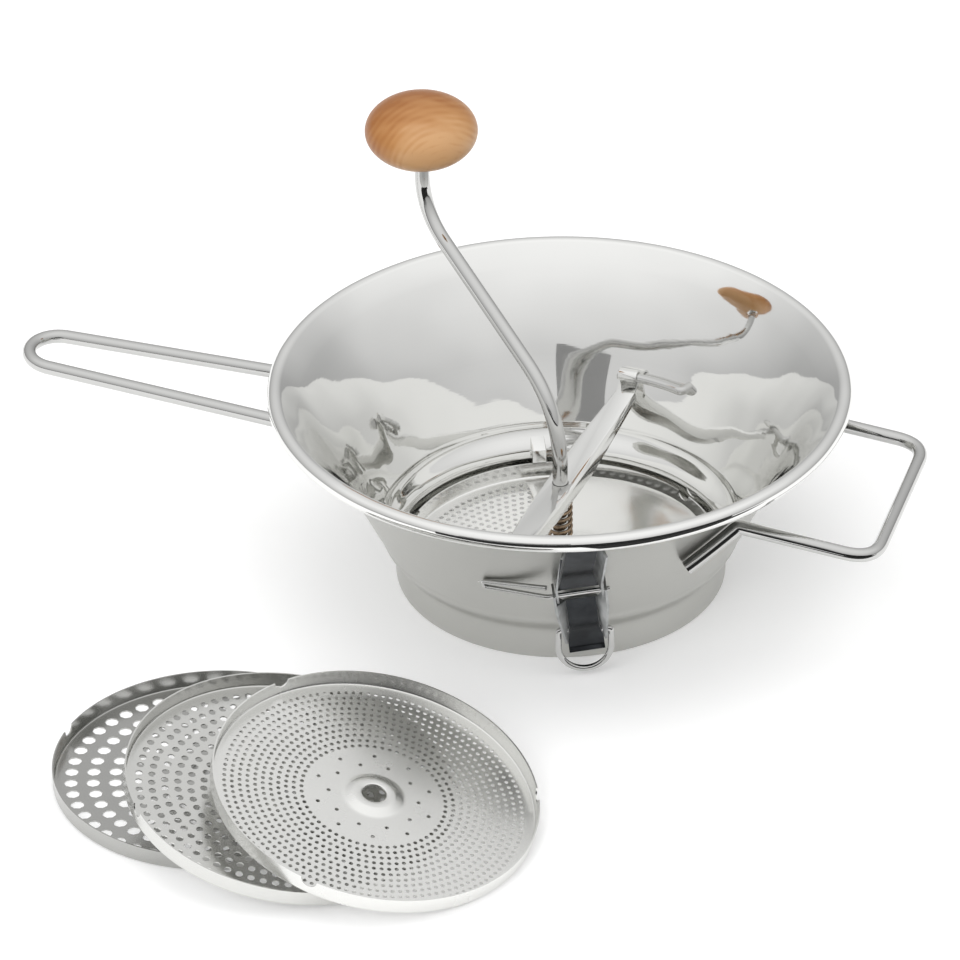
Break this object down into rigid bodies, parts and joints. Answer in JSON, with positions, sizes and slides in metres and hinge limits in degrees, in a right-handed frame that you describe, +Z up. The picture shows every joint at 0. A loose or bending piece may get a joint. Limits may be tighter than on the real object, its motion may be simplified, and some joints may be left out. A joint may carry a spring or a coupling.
{
  "type": "food mill",
  "caption": "Hand cranked food mill: flared steel bowl, spring pressed blade over a sieve disc, bridge with latch, wire handles, wooden knob, and spare sieve discs beside it.",
  "frame": {"origin": "on the bowl's axis, in the plane that the base stands on", "axes": "+Z up along the crank's axis, +Y away from the latch side of the bowl, +X to its right"},
  "size_m": [0.3813, 0.382, 0.1828],
  "materials": {
    "polished_steel": "mirror polished",
    "chromed_wire": "bright",
    "zinc_plate": "dull plated",
    "spring_steel": "dark",
    "beech": "clear varnish"
  },
  "bodies": {
    "bowl": {"bowl": "polished_steel", "bridge": "polished_steel", "hook_wire": "chromed_wire", "long_handle": "chromed_wire", "short_handle": "chromed_wire", "upper_washer": "zinc_plate", "spring": "spring_steel", "fitted_disc": "polished_steel", "latch_bracket": "zinc_plate"},
    "thrust": {"lower_washer": "zinc_plate"},
    "crank": {"crank_rod": "chromed_wire", "blade_hub": "polished_steel", "blade": "polished_steel", "knob_retainer": "spring_steel"},
    "knob": {"knob": "beech", "knob_sleeve": "polished_steel"},
    "latch": {"latch_lever": "zinc_plate", "latch_wire": "chromed_wire"},
    "pull_loop": {"pull_loop": "chromed_wire"},
    "coarse_disc": {"coarse_disc": "polished_steel"},
    "medium_disc": {"medium_disc": "polished_steel"},
    "fine_disc": {"fine_disc": "polished_steel"}
  },
  "joints": [
    {"name": "rotor_press", "type": "slide", "parent": "bowl", "child": "thrust", "axis": [0, 0, 1], "range_m": [0, 0.003], "stiffness_N_per_m": 1500, "springref_m": -0.004, "deforming": ["spring"]},
    {"name": "crank_turn", "type": "hinge", "parent": "thrust", "child": "crank", "pos_m": [0, 0, 0.043], "axis": [0, 0, -1], "continuous": true},
    {"name": "knob_spin", "type": "hinge", "parent": "crank", "child": "knob", "pos_m": [-0.05661, 0.08085, 0.168], "axis": [0, 0, 1], "continuous": true},
    {"name": "latch_swing", "type": "hinge", "parent": "bowl", "child": "latch", "pos_m": [0.00658, -0.09414, 0.049], "axis": [-0.9912, -0.0693, -0.1132], "range_deg": [0, 35], "stiffness_Nm_per_rad": 0.1, "springref_deg": -17.19},
    {"name": "pull_loop_swing", "type": "hinge", "parent": "latch", "child": "pull_loop", "pos_m": [0.00869, -0.08333, 0.02391], "axis": [-0.9976, -0.0698, 0], "range_deg": [-10, 90]},
    {"name": "coarse_lift", "type": "slide", "parent": "bowl", "child": "coarse_disc", "axis": [0, 0, 1], "range_m": [0, 0.1]},
    {"name": "medium_lift", "type": "slide", "parent": "coarse_disc", "child": "medium_disc", "axis": [0, 0, 1], "range_m": [0, 0.08]},
    {"name": "fine_lift", "type": "slide", "parent": "medium_disc", "child": "fine_disc", "axis": [0, 0, 1], "range_m": [0, 0.08]}
  ]
}
